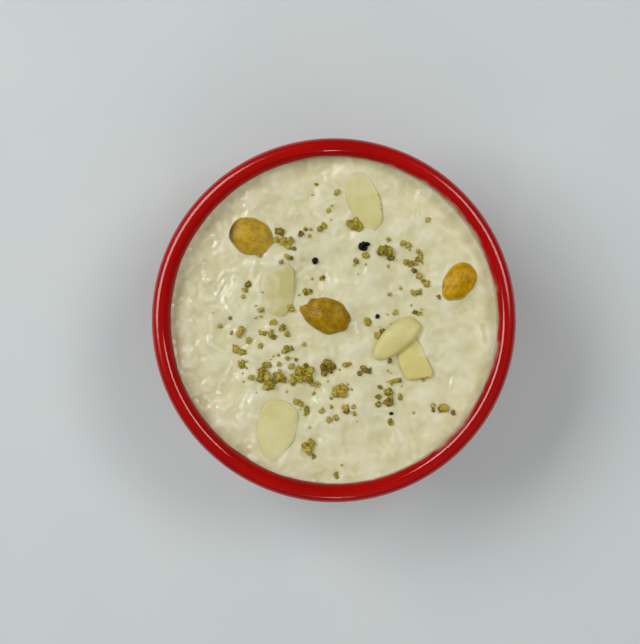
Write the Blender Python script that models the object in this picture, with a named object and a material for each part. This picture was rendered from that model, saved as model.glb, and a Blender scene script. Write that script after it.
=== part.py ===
"""Kheer: Indian rice pudding in a round melamine bowl, topped with golden raisins and almond flakes.

The origin is the centre of the bowl's foot, on the surface that it stands on, and +Z is up.
Sizes are in millimetres until a mesh is made, where MM turns them into metres.
"""

import math

import bmesh
import bpy

MM = 0.001
SMOOTH_BELOW = math.radians(40)  # edges that turn less than this are shaded smooth
SEGMENTS = 60  # facets round the bowl and round the pudding, which share their corners' angles
GAP = 0.3  # clearance that two touching pieces keep

# The bowl: a rolled lip over steep sides that round in to a foot ring.
RIM_RADIUS = 65.0
BOWL_HEIGHT = 54.0
LIP_OUTER_WIDTH = 3.4  # from the lip's crest out to the rim
LIP_INNER_WIDTH = 2.6  # from the lip's crest in to the bowl's side
LIP_HALF_HEIGHT = 3.2
LIP_OVERHANG = 2.8
LIP_FLARE = 5.0
FLOOR_TOP = 5.6
BODY_BOTTOM = 1.0  # where the outer side's curve would end if it had no foot
FOOT_RADIUS = 34.0
FOOT_WIDTH = 4.5
FOOT_RECESS = 2.4
FOOT_ROUNDING = 0.8
BODY_EXPONENT = 2.4
CAVITY_STEPS = 9
LIP_STEPS = 6
FLARE_STEPS = 2
BODY_STEPS = 5

LIP_BASE = BOWL_HEIGHT - LIP_HALF_HEIGHT
LIP_CREST_RADIUS = RIM_RADIUS - LIP_OUTER_WIDTH
CAVITY_RADIUS = LIP_CREST_RADIUS - LIP_INNER_WIDTH
CAVITY_DEPTH = LIP_BASE - FLOOR_TOP
BODY_RADIUS = RIM_RADIUS - LIP_OVERHANG
BODY_TOP = LIP_BASE - LIP_FLARE
BODY_DEPTH = BODY_TOP - BODY_BOTTOM

# The pudding: thick milk and soft rice, filled to a little under the lip.
PUDDING_LEVEL = 47.0
PUDDING_SIDE_TOP = 44.3  # lower than the uneven edge all the way round
PUDDING_RINGS = 16
SWELL_COUNT = 7
SWELL_LONGEST = 34.0
SWELL_SHRINK = 0.78
SWELL_SLOPE = 0.0125  # a swell's height for each millimetre of its length
GOLDEN_ANGLE = math.pi * (3 - math.sqrt(5))
WALL_CREEP = 0.7  # how far the milk climbs where it meets the bowl
WALL_CREEP_REACH = 2.0
CLOT_RADIUS = 53.7  # a roll of rice pressed against the bowl's side
CLOT_FROM, CLOT_TO = math.radians(168), math.radians(196)
CLOT_HALF_WIDTH = 3.6
CLOT_HEIGHT = 1.1

# Golden raisins: where each lies, its size, the way its narrow end points, and its height over the milk.
RAISIN_SIDES = 16
RAISIN_RINGS = 11
RAISIN_FOLD_DEPTH = 0.055
RAISIN_FOLD_TWIST = 1.5
RAISINS = {
    "raisin_1": dict(at=(-29.3, 30.1), size=(16.8, 13.6, 8.6), heading=-14, taper=0.16, folds=5, above=3.7),
    "raisin_2": dict(at=(-2.6, 2.0), size=(18.2, 12.4, 9.0), heading=166, taper=0.22, folds=6, above=3.9),
    "raisin_3": dict(at=(45.0, 13.8), size=(15.2, 11.6, 8.2), heading=238, taper=0.06, folds=5, above=3.2),
}

# Almond flakes: where each lies, its size, where its tip points, and how it leans. Some are cut from
# the almond's rounded side, so they are domed on top.
FLAKE_SIDES = 20
FLAKE_RINGS = (0.5, 0.85)
FLAKE_TIP = 0.35  # 0 is an ellipse, and 1 comes to a sharp point
FLAKE_EDGE_EXPONENT = 4
ALMOND_FLAKES = {
    "almond_flake_1": dict(at=(11.5, 42.2), size=(21.4, 11.4, 1.3), heading=-69, lean=(-5, 2), above=1.1),
    "almond_flake_2": dict(at=(-19.8, 11.0), size=(19.4, 12.2, 1.2), heading=-92, lean=(0, 2), above=0.5),
    "almond_flake_3": dict(
        at=(22.5, -6.5), size=(20.2, 9.4, 1.5), heading=221, lean=(5, -3), above=2.6, dome=1.2
    ),
    "almond_flake_4": dict(at=(28.1, -12.5), size=(18.4, 9.8, 1.2), heading=111, lean=(0, 4), above=0.7),
    "almond_flake_5": dict(at=(-20.4, -39.7), size=(22.4, 14.3, 1.3), heading=-102, lean=(-6, 1), above=1.2),
}

# Colours are linear; roughness is 0 for a mirror and 1 for chalk.
MATERIALS = {
    "red_melamine": dict(colour=(0.46, 0.006, 0.003), roughness=0.16),
    "milk_pudding": dict(colour=(0.80, 0.74, 0.52), roughness=0.34),
    "golden_raisin": dict(colour=(0.47, 0.24, 0.022), roughness=0.38),
    "blanched_almond": dict(colour=(0.78, 0.68, 0.36), roughness=0.45),
}


def clear_scene():
    for obj in list(bpy.data.objects):
        bpy.data.objects.remove(obj)


def make_materials():
    made = {}
    for name, look in MATERIALS.items():
        material = bpy.data.materials.new(name)
        material.use_nodes = True
        shader = material.node_tree.nodes["Principled BSDF"]
        shader.inputs["Base Color"].default_value = (*look["colour"], 1.0)
        shader.inputs["Roughness"].default_value = look["roughness"]
        shader.inputs["Metallic"].default_value = 0.0
        made[name] = material
    return made


def add_object(name, bm, material, parent):
    """Turns a bmesh in millimetres into an object in metres, smooth but for its sharp edges."""
    bmesh.ops.scale(bm, vec=(MM, MM, MM), verts=bm.verts)
    bmesh.ops.recalc_face_normals(bm, faces=bm.faces)
    mesh = bpy.data.meshes.new(name)
    bm.to_mesh(mesh)
    bm.free()
    mesh.materials.append(material)
    mesh.shade_smooth()
    mesh.set_sharp_from_angle(angle=SMOOTH_BELOW)
    obj = bpy.data.objects.new(name, mesh)
    bpy.context.scene.collection.objects.link(obj)
    obj.parent = parent
    return obj


# ---------------------------------------------------------------- bowl


def rounded_side(radius, top, depth, start, end, steps):
    """Points down a superellipse, from its vertical side at start 0 to its flat bottom at end pi/2."""
    power = 2 / BODY_EXPONENT
    points = []
    for step in range(steps + 1):
        turn = start + (end - start) * step / steps
        across, down = max(math.cos(turn), 0.0), math.sin(turn)
        points.append((radius * across**power, top - depth * down**power))
    return points


def cavity_profile(inset=0.0):
    """The bowl's inner wall, from the lip's inner edge down to the middle of the floor."""
    radius, depth = CAVITY_RADIUS - inset, CAVITY_DEPTH - inset
    points = rounded_side(radius, LIP_BASE, depth, 0.0, math.pi / 2, CAVITY_STEPS)
    points[-1] = (0.0, points[-1][1])
    return points


def bowl_profile():
    """The bowl's section as radius and height, from mid-floor over the lip to mid-underside."""
    points = cavity_profile()[::-1]
    for step in range(1, LIP_STEPS + 1):
        turn = math.pi * (1 - step / LIP_STEPS)
        half_width = LIP_INNER_WIDTH if turn > math.pi / 2 else LIP_OUTER_WIDTH
        radius = LIP_CREST_RADIUS + half_width * math.cos(turn)
        points.append((radius, LIP_BASE + LIP_HALF_HEIGHT * math.sin(turn)))
    for step in range(1, FLARE_STEPS + 1):
        share = step / (FLARE_STEPS + 1)
        flare = LIP_OVERHANG * (1 + math.cos(math.pi * share)) / 2
        points.append((BODY_RADIUS + flare, LIP_BASE - LIP_FLARE * share))
    foot_turn = math.acos((FOOT_RADIUS / BODY_RADIUS) ** (BODY_EXPONENT / 2))
    points += rounded_side(BODY_RADIUS, BODY_TOP, BODY_DEPTH, 0.0, foot_turn, BODY_STEPS)
    foot_inside = FOOT_RADIUS - FOOT_WIDTH
    points += [
        (FOOT_RADIUS, FOOT_ROUNDING),
        (FOOT_RADIUS - FOOT_ROUNDING, 0.0),
        (foot_inside + FOOT_ROUNDING, 0.0),
        (foot_inside, FOOT_ROUNDING),
        (foot_inside, FOOT_RECESS),
        (0.0, FOOT_RECESS),
    ]
    return points


def make_bowl(material, parent):
    """Spins the bowl's section once round the Z axis."""
    bm = bmesh.new()
    verts = [bm.verts.new((radius, 0.0, height)) for radius, height in bowl_profile()]
    edges = [bm.edges.new(pair) for pair in zip(verts, verts[1:])]
    bmesh.ops.spin(
        bm,
        geom=verts + edges,
        cent=(0, 0, 0),
        axis=(0, 0, 1),
        angle=2 * math.pi,
        steps=SEGMENTS,
        use_merge=True,
        use_duplicate=False,
    )
    bmesh.ops.remove_doubles(bm, verts=bm.verts, dist=0.001)
    return add_object("bowl", bm, material, parent)


# ---------------------------------------------------------------- pudding


def swell(x, y):
    """A spooned surface's rise and fall: waves, each shorter than the last and turned from it."""
    height, length = 0.0, SWELL_LONGEST
    for wave in range(SWELL_COUNT):
        heading = wave * GOLDEN_ANGLE
        along = x * math.cos(heading) + y * math.sin(heading)
        height += SWELL_SLOPE * length * math.sin(2 * math.pi * along / length + wave * wave)
        length *= SWELL_SHRINK
    return height


def clot(x, y):
    """The roll of rice at the side: a half-round ridge along an arc, with round ends."""
    turn = math.atan2(y, x) % (2 * math.pi)
    nearest = min(max(turn, CLOT_FROM), CLOT_TO)
    away = math.hypot(x - CLOT_RADIUS * math.cos(nearest), y - CLOT_RADIUS * math.sin(nearest))
    return CLOT_HEIGHT * math.sqrt(max(0.0, 1 - (away / CLOT_HALF_WIDTH) ** 2))


def pudding_height(x, y):
    from_wall = max(0.0, CAVITY_RADIUS - math.hypot(x, y))
    creep = WALL_CREEP * math.exp(-from_wall / WALL_CREEP_REACH)
    return PUDDING_LEVEL + swell(x, y) + clot(x, y) + creep


def radius_in_cavity(height, wall):
    """The pudding's radius at a height, on the straight facets between the wall's points."""
    for (radius_1, height_1), (radius_2, height_2) in zip(wall, wall[1:]):
        if height >= height_2:
            share = (height_1 - height) / (height_1 - height_2)
            return radius_1 + (radius_2 - radius_1) * share
    return wall[-1][0]


def make_pudding(material, parent):
    """A disc of rings whose outer ring slides on the bowl's wall, closed by the wall's own facets below."""
    wall = cavity_profile(inset=GAP)
    below = [point for point in wall if point[1] < PUDDING_SIDE_TOP]
    bm = bmesh.new()
    rings = []
    for ring in range(1, PUDDING_RINGS + 1):
        row = []
        for side in range(SEGMENTS):
            turn = 2 * math.pi * side / SEGMENTS
            direction = (math.cos(turn), math.sin(turn))
            edge_height = pudding_height(CAVITY_RADIUS * direction[0], CAVITY_RADIUS * direction[1])
            radius = radius_in_cavity(edge_height, wall) * ring / PUDDING_RINGS
            x, y = radius * direction[0], radius * direction[1]
            height = edge_height if ring == PUDDING_RINGS else pudding_height(x, y)
            row.append(bm.verts.new((x, y, height)))
        rings.append(row)
    for radius, height in below[:-1]:
        turns = [2 * math.pi * side / SEGMENTS for side in range(SEGMENTS)]
        rings.append([bm.verts.new((radius * math.cos(a), radius * math.sin(a), height)) for a in turns])
    top = bm.verts.new((0, 0, pudding_height(0, 0)))
    bottom = bm.verts.new((0, 0, below[-1][1]))
    for side in range(SEGMENTS):
        after = (side + 1) % SEGMENTS
        bm.faces.new((top, rings[0][side], rings[0][after]))
        for upper, lower in zip(rings, rings[1:]):
            bm.faces.new((upper[side], lower[side], lower[after], upper[after]))
        bm.faces.new((rings[-1][side], bottom, rings[-1][after]))
    return add_object("kheer", bm, material, parent)


# ---------------------------------------------------------------- toppings


def place(obj, piece, thickness):
    """Lays a piece on the pudding with its top the stated height over the milk."""
    x, y = piece["at"]
    roll, pitch = piece.get("lean", (0, 0))
    height = pudding_height(x, y) + piece["above"] - thickness / 2
    obj.location = (x * MM, y * MM, height * MM)
    obj.rotation_euler = [math.radians(angle) for angle in (roll, pitch, piece["heading"])]


def make_raisin(name, piece, material, parent):
    """An egg shape along +X, narrower in front, with soft folds that wind from end to end."""
    length, width, height = piece["size"]
    bm = bmesh.new()
    bmesh.ops.create_uvsphere(bm, u_segments=RAISIN_SIDES, v_segments=RAISIN_RINGS, radius=1.0)
    for vert in bm.verts:
        along = vert.co.z
        around = math.atan2(vert.co.y, vert.co.x)
        out = math.hypot(vert.co.x, vert.co.y)
        fold = 1 + RAISIN_FOLD_DEPTH * out * math.sin(piece["folds"] * around + RAISIN_FOLD_TWIST * along)
        girth = out * fold * (1 - piece["taper"] * along)
        vert.co = (
            along * length / 2,
            girth * math.cos(around) * width / 2,
            girth * math.sin(around) * height / 2,
        )
    obj = add_object(name, bm, material, parent)
    place(obj, piece, height)
    return obj


def flake_outline(turn, length, width):
    """A point on an almond's outline: round behind and pointed in front, at turn 0."""
    widest = math.acos(-FLAKE_TIP / (2 + FLAKE_TIP))
    bulge = math.sin(turn) * abs(math.sin(turn / 2)) ** FLAKE_TIP
    fullest = math.sin(widest) * math.sin(widest / 2) ** FLAKE_TIP
    return length / 2 * math.cos(turn), width / 2 * bulge / fullest


def make_flake(name, piece, material, parent):
    """A thin slice with rounded edges, flat or domed on top."""
    length, width, thickness = piece["size"]
    dome = piece.get("dome", 0.0)
    turns = [2 * math.pi * side / FLAKE_SIDES for side in range(FLAKE_SIDES)]
    bm = bmesh.new()

    def ring(share, face):
        swell_out = (1 - share**FLAKE_EDGE_EXPONENT) ** (1 / FLAKE_EDGE_EXPONENT)
        height = face * thickness / 2 * swell_out + (dome * (1 - share**2) if face > 0 else 0.0)
        outline = [flake_outline(turn, length * share, width * share) for turn in turns]
        return [bm.verts.new((x, y, height)) for x, y in outline]

    rows = [ring(share, 1) for share in FLAKE_RINGS]
    rows.append(ring(1.0, 0))
    rows += [ring(share, -1) for share in reversed(FLAKE_RINGS)]
    top = bm.verts.new((0, 0, thickness / 2 + dome))
    bottom = bm.verts.new((0, 0, -thickness / 2))
    for side in range(FLAKE_SIDES):
        after = (side + 1) % FLAKE_SIDES
        bm.faces.new((top, rows[0][side], rows[0][after]))
        for upper, lower in zip(rows, rows[1:]):
            bm.faces.new((upper[side], lower[side], lower[after], upper[after]))
        bm.faces.new((rows[-1][side], bottom, rows[-1][after]))
    obj = add_object(name, bm, material, parent)
    place(obj, piece, thickness + dome)
    return obj


def sink_into(pudding, topping):
    """Cuts a topping's bed in the pudding: the topping's own shape, larger by the gap all over."""
    bed = bpy.data.objects.new(topping.name + "_bed", topping.data.copy())
    bpy.context.scene.collection.objects.link(bed)
    bed.parent = topping.parent
    bed.location, bed.rotation_euler = topping.location, topping.rotation_euler
    bed.hide_render = True
    bed.display_type = "WIRE"
    grow = bed.modifiers.new("grow", "DISPLACE")
    grow.mid_level = 0.0
    grow.strength = GAP * MM
    cut = pudding.modifiers.new(bed.name, "BOOLEAN")
    cut.operation = "DIFFERENCE"
    cut.solver = "EXACT"
    cut.object = bed


def main():
    clear_scene()
    materials = make_materials()
    serving = bpy.data.objects.new("serving", None)
    bpy.context.scene.collection.objects.link(serving)
    make_bowl(materials["red_melamine"], serving)
    pudding = make_pudding(materials["milk_pudding"], serving)
    for name, piece in RAISINS.items():
        sink_into(pudding, make_raisin(name, piece, materials["golden_raisin"], serving))
    for name, piece in ALMOND_FLAKES.items():
        sink_into(pudding, make_flake(name, piece, materials["blanched_almond"], serving))


main()
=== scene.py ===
# Kheer, Indian rice pudding, in a moulded melamine bowl, with raisins, almond flakes, pistachio and cardamom.
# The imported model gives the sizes, and this script gives every surface its finish and its small detail.
# Lengths are millimetres until a mesh is made, and heights are over the surface that the bowl stands on.
import math

import bpy
import numpy as np
from mathutils import Matrix, Vector


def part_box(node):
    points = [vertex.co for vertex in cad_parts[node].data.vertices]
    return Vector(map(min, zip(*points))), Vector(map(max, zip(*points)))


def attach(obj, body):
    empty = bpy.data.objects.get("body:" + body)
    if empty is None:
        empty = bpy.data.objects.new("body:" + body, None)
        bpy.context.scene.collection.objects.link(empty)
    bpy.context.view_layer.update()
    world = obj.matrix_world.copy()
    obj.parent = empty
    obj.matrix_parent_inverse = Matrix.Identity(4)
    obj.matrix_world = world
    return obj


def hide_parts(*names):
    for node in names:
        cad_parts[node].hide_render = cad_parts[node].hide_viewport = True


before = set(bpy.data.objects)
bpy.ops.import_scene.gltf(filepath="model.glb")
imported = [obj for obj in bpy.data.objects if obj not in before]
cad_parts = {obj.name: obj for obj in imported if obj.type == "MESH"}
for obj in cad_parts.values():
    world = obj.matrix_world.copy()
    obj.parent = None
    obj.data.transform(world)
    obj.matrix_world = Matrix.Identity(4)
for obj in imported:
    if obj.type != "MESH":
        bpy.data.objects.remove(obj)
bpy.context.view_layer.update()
mm = 0.001
fullTurn = 2 * math.pi
goldenAngle = math.pi * (3 - math.sqrt(5))


def hexColour(code):
    # an sRGB hex value as linear red, green, blue and alpha
    share = np.array([int(code[i : i + 2], 16) / 255 for i in (1, 3, 5)])
    linear = np.where(share <= 0.04045, share / 12.92, ((share + 0.055) / 1.055) ** 2.4)
    return (*linear.tolist(), 1.0)


def addNode(tree, kind, links=None, values=None, **settings):
    # a node with its own settings, its inputs' values, and its inputs' links from (node, output) pairs
    node = tree.nodes.new(kind)
    for name, value in settings.items():
        setattr(node, name, value)
    for name, value in (values or {}).items():
        node.inputs[name].default_value = value
    for name, (source, output) in (links or {}).items():
        tree.links.new(source.outputs[output], node.inputs[name])
    return node


def setStops(ramp, stops):
    # a colour ramp's stops, given as {position: hex value or grey}
    places = list(stops.items())
    while len(ramp.color_ramp.elements) < len(places):
        ramp.color_ramp.elements.new(0.5)
    for element, (position, colour) in zip(ramp.color_ramp.elements, places):
        element.position = position
        element.color = hexColour(colour) if isinstance(colour, str) else (colour, colour, colour, 1.0)


def startMaterial(name, values):
    # a Principled material, with the values that are the same all over it set on its own sockets
    material = bpy.data.materials.new(name)
    material.use_nodes = True
    tree = material.node_tree
    shader = tree.nodes["Principled BSDF"]
    for socket, value in values.items():
        shader.inputs[socket].default_value = value
    return material, tree, shader


def waveNoise(points, size, seed, waves=28):
    # smooth noise of spread 1: a sum of sine waves about one size long, each running its own random way
    rng = np.random.default_rng(seed)
    ways = rng.normal(size=(waves, points.shape[-1]))
    ways /= np.linalg.norm(ways, axis=1, keepdims=True)
    ways *= fullTurn / (size * rng.uniform(0.7, 1.5, (waves, 1)))
    shifts = rng.uniform(0, fullTurn, waves)
    total = np.zeros(points.shape[:-1])
    for way, shift in zip(ways, shifts):
        total += np.sin(points @ way + shift)
    return total * math.sqrt(2 / waves)


def makePiece(name, points, quads, triangles, material, nodes=(), attributes=None, smooth=True,
              second=None, secondFaces=None):
    # a closed mesh from whole arrays of corners, turned outwards if its volume comes out negative; the
    # faces marked in secondFaces take the second material
    points = np.asarray(points, float).reshape(-1, 3)
    fans = np.concatenate([triangles, quads[:, [0, 1, 2]], quads[:, [0, 2, 3]]])
    a, b, c = (points[fans[:, k]] for k in range(3))
    if np.einsum("ij,ij->i", a, np.cross(b, c)).sum() < 0:
        quads, triangles = quads[:, ::-1], triangles[:, ::-1]
    corners = np.concatenate([quads.ravel(), triangles.ravel()]).astype(np.int32)
    starts = np.concatenate([np.arange(len(quads)) * 4, len(quads) * 4 + np.arange(len(triangles)) * 3])
    mesh = bpy.data.meshes.new(name)
    mesh.vertices.add(len(points))
    mesh.loops.add(len(corners))
    mesh.polygons.add(len(starts))
    mesh.vertices.foreach_set("co", (points * mm).astype(np.float32).ravel())
    mesh.loops.foreach_set("vertex_index", corners)
    mesh.polygons.foreach_set("loop_start", starts.astype(np.int32))
    mesh.update(calc_edges=True)
    mesh.validate()
    mesh.polygons.foreach_set("use_smooth", np.full(len(starts), smooth))
    for label, values in (attributes or {}).items():
        layer = mesh.attributes.new(label, "FLOAT", "POINT")
        layer.data.foreach_set("value", np.asarray(values, np.float32).ravel())
    mesh.materials.append(material)
    if second:
        mesh.materials.append(second)
        mesh.polygons.foreach_set("material_index", secondFaces.astype(np.int32))
    piece = bpy.data.objects.new(name, mesh)
    bpy.context.scene.collection.objects.link(piece)
    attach(piece, "root")
    for node in nodes:
        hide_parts(node)
    print("made", name, "with", len(triangles) + 2 * len(quads), "triangles")
    return piece


def bodyFaces(bodies, rows, columns):
    # faces of many closed bodies at once, each rows x columns of points and then its first and last pole
    base = (np.arange(bodies) * (rows * columns + 2))[:, None, None]
    row = (np.arange(rows - 1) * columns)[None, :, None]
    column = np.arange(columns)[None, None, :]
    after = (column + 1) % columns
    quads = np.stack([base + row + column, base + row + after, base + row + columns + after,
                      base + row + columns + column], -1).reshape(-1, 4)
    first = base[:, 0] + rows * columns + 0 * column[0]
    lastRow = base[:, 0] + (rows - 1) * columns
    starts = np.stack([first, base[:, 0] + after[0], base[:, 0] + column[0]], -1).reshape(-1, 3)
    ends = np.stack([first + 1, lastRow + column[0], lastRow + after[0]], -1).reshape(-1, 3)
    return quads, np.concatenate([starts, ends])


def bodyPoints(rings, firstPoles, lastPoles):
    # rings of shape bodies x rows x columns x 3, with each body's two poles after its rings
    flat = rings.reshape(len(rings), -1, 3)
    return np.concatenate([flat, firstPoles[:, None], lastPoles[:, None]], 1).reshape(-1, 3)


def turnMatrices(roll, pitch, heading):
    # rotations about X, then Y, then Z, for whole arrays of angles
    cx, sx, cy, sy, cz, sz = (f(a) for a in (roll, pitch, heading) for f in (np.cos, np.sin))
    rows = [[cz * cy, cz * sy * sx - sz * cx, cz * sy * cx + sz * sx],
            [sz * cy, sz * sy * sx + cz * cx, sz * sy * cx - cz * sx],
            [-sy, cy * sx, cy * cx]]
    return np.stack([np.stack([np.broadcast_to(value, np.shape(heading)) for value in row], -1)
                     for row in rows], -2)


# The camera looks down from over the bowl, a little off its middle, and leans back towards it.
cameraView = {
    "overRim": 425.0,
    "standsAt": (14.5, 7.4),
    "looksAt": (-4.37, -0.39),
    "viewWidth": 228.0,  # what the frame's long side takes in at the rim
}


def addCamera():
    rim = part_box("bowl")[1].z / mm
    spot = Vector((*cameraView["standsAt"], rim + cameraView["overRim"])) * mm
    target = Vector((*cameraView["looksAt"], rim)) * mm
    back = (spot - target).normalized()
    right = Vector((0, 1, 0)).cross(back).normalized()
    up = back.cross(right)
    data = bpy.data.cameras.new("camera")
    data.sensor_width = 36.0
    data.lens = data.sensor_width * cameraView["overRim"] / cameraView["viewWidth"]
    data.clip_start, data.clip_end = 0.01, 20.0
    camera = bpy.data.objects.new("camera", data)
    camera.matrix_world = Matrix.Translation(spot) @ Matrix((right, up, back)).transposed().to_4x4()
    bpy.context.scene.collection.objects.link(camera)
    bpy.context.scene.camera = camera


# Two ceiling tubes make the long glints on the lip, and a wide soft source that no gloss mirrors fills in.
lights = {
    "westTube": dict(azimuth=155, elevation=48, distance=1345, size=(1040, 560), radiance=5.0),
    "eastTube": dict(azimuth=29, elevation=52, distance=1400, size=(700, 320), radiance=5.4),
    "eastTubeBeside": dict(azimuth=29, elevation=62, distance=1400, size=(620, 80), radiance=4.6),
    "southLamp": dict(azimuth=268, elevation=40, distance=1200, size=(60, 160), radiance=12.0),
    "softFill": dict(azimuth=290, elevation=66, distance=1150, size=(1300, 1300), radiance=0.63, mirrored=False),
}
worldGrey = 0.045


def addLights():
    for name, lamp in lights.items():
        azimuth, elevation = math.radians(lamp["azimuth"]), math.radians(lamp["elevation"])
        way = Vector((math.cos(azimuth) * math.cos(elevation), math.sin(azimuth) * math.cos(elevation),
                      math.sin(elevation)))
        across = Vector((-math.sin(azimuth), math.cos(azimuth), 0))
        data = bpy.data.lights.new(name, "AREA")
        data.shape = "RECTANGLE"
        data.size, data.size_y = (side * mm for side in lamp["size"])
        data.energy = math.pi * data.size * data.size_y * lamp["radiance"]
        light = bpy.data.objects.new(name, data)
        turn = Matrix((across, way.cross(across), way)).transposed().to_4x4()
        light.matrix_world = Matrix.Translation(way * lamp["distance"] * mm) @ turn
        light.visible_glossy = lamp.get("mirrored", True)
        bpy.context.scene.collection.objects.link(light)
    world = bpy.data.worlds.new("room")
    world.use_nodes = True
    world.node_tree.nodes["Background"].inputs["Color"].default_value = (worldGrey, worldGrey, worldGrey, 1.0)
    bpy.context.scene.world = world
    bpy.context.scene.view_settings.view_transform = "Standard"


floorLook = {"radius": 1600.0, "columns": 96, "colour": "#DDE6E6"}


def addFloor():
    # a pale flat disc that fades out of view, just under the foot
    turn = np.arange(floorLook["columns"]) * fullTurn / floorLook["columns"]
    ring = np.stack([np.cos(turn), np.sin(turn), 0 * turn], -1) * floorLook["radius"] * mm
    mesh = bpy.data.meshes.new("floor")
    mesh.from_pydata(ring.tolist(), [], [list(range(floorLook["columns"]))])
    material, tree, shader = startMaterial("mattePaintedBoard", {"Roughness": 0.7})
    place = addNode(tree, "ShaderNodeTexCoord")
    mottle = addNode(tree, "ShaderNodeTexNoise", {"Vector": (place, "Object")}, {"Scale": 1 / (60 * mm)})
    shade = addNode(tree, "ShaderNodeValToRGB", {"Fac": (mottle, "Fac")})
    setStops(shade, {0.3: floorLook["colour"], 0.7: "#E1E8E7"})
    tree.links.new(shade.outputs["Color"], shader.inputs["Base Color"])
    mesh.materials.append(material)
    floor = bpy.data.objects.new("floor", mesh)
    floor.location.z = -0.02 * mm
    bpy.context.scene.collection.objects.link(floor)


# The bowl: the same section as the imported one, with true arcs. Sizes in millimetres.
bowl = {
    "lipOuterWidth": 3.4,
    "lipInnerWidth": 2.9,
    "lipHalfHeight": 3.2,
    "lipOverhang": 2.8,
    "lipFlare": 5.0,
    "floorTop": 5.6,
    "bodyBottom": 1.0,
    "footRadius": 34.0,
    "footWidth": 4.5,
    "footRecess": 2.4,
    "footRounding": 0.8,
    "sideExponent": 2.4,
    "columns": 288,
    "red": "#BC0602",
    "deepRed": "#AE0502",
    "smearAndReflectionPink": "#B04A50",
    "smearAndReflectionMilk": "#D8C8AC",
    "smearAndReflectionClimb": 4.2,
}
bowl["height"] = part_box("bowl")[1].z / mm
bowl["rimRadius"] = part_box("bowl")[1].x / mm
bowl["lipBase"] = bowl["height"] - bowl["lipHalfHeight"]
bowl["crestRadius"] = bowl["rimRadius"] - bowl["lipOuterWidth"]
bowl["cavityRadius"] = bowl["crestRadius"] - bowl["lipInnerWidth"]
bowl["bodyRadius"] = bowl["rimRadius"] - bowl["lipOverhang"]


def superCurve(radius, top, bottom, start, end, steps):
    # down a superellipse: across is cos^p and down is sin^p of an angle that runs from start to end
    turn = np.linspace(start, end, steps)
    power = 2 / bowl["sideExponent"]
    across = radius * np.clip(np.cos(turn), 0, 1) ** power
    return np.stack([across, top - (top - bottom) * np.sin(turn) ** power], -1)


def arc(centre, radii, start, end, steps):
    # an elliptical arc in the section, its angles in turns
    turn = np.linspace(start, end, steps) * fullTurn
    return np.stack([centre[0] + radii[0] * np.cos(turn), centre[1] + radii[1] * np.sin(turn)], -1)


def cavityRadiusAt(height):
    # the inner side's radius at a height, from the superellipse turned round to give across from down
    down = np.clip((bowl["lipBase"] - height) / (bowl["lipBase"] - bowl["floorTop"]), 0, 1)
    return bowl["cavityRadius"] * (1 - down ** bowl["sideExponent"]) ** (1 / bowl["sideExponent"])


def bowlSection():
    # radius and height, from mid-floor up the inside, over the lip and down the outside to mid-foot
    side = superCurve(bowl["cavityRadius"], bowl["lipBase"], bowl["floorTop"], math.pi / 2, 0, 46)[1:]
    lip = (bowl["crestRadius"], bowl["lipBase"])
    inner = arc(lip, (bowl["lipInnerWidth"], bowl["lipHalfHeight"]), 0.5, 0.25, 18)[1:]
    outer = arc(lip, (bowl["lipOuterWidth"], bowl["lipHalfHeight"]), 0.25, 0.0, 18)[1:]
    share = np.linspace(0, 1, 14)[1:]
    flare = bowl["lipOverhang"] * (1 + np.cos(math.pi * share)) / 2
    neck = np.stack([bowl["bodyRadius"] + flare, bowl["lipBase"] - bowl["lipFlare"] * share], -1)
    footTurn = math.acos((bowl["footRadius"] / bowl["bodyRadius"]) ** (bowl["sideExponent"] / 2))
    bodyTop = bowl["lipBase"] - bowl["lipFlare"]
    body = superCurve(bowl["bodyRadius"], bodyTop, bowl["bodyBottom"], 0, footTurn, 44)[1:]
    edge, rounding = bowl["footRadius"], bowl["footRounding"]
    inside = edge - bowl["footWidth"]
    foot = [
        [[edge, 4.5], [edge, 2.5]],
        arc((edge - rounding, rounding), (rounding, rounding), 0.0, -0.25, 8),
        arc((inside + rounding, rounding), (rounding, rounding), 0.75, 0.5, 8),
        arc((inside - rounding, bowl["footRecess"] - rounding), (rounding, rounding), 0.0, 0.25, 8),
        [[22.0, bowl["footRecess"]], [12.0, bowl["footRecess"]], [3.0, bowl["footRecess"]]],
    ]
    return np.concatenate([side, inner, outer, neck, body, *foot])


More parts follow.
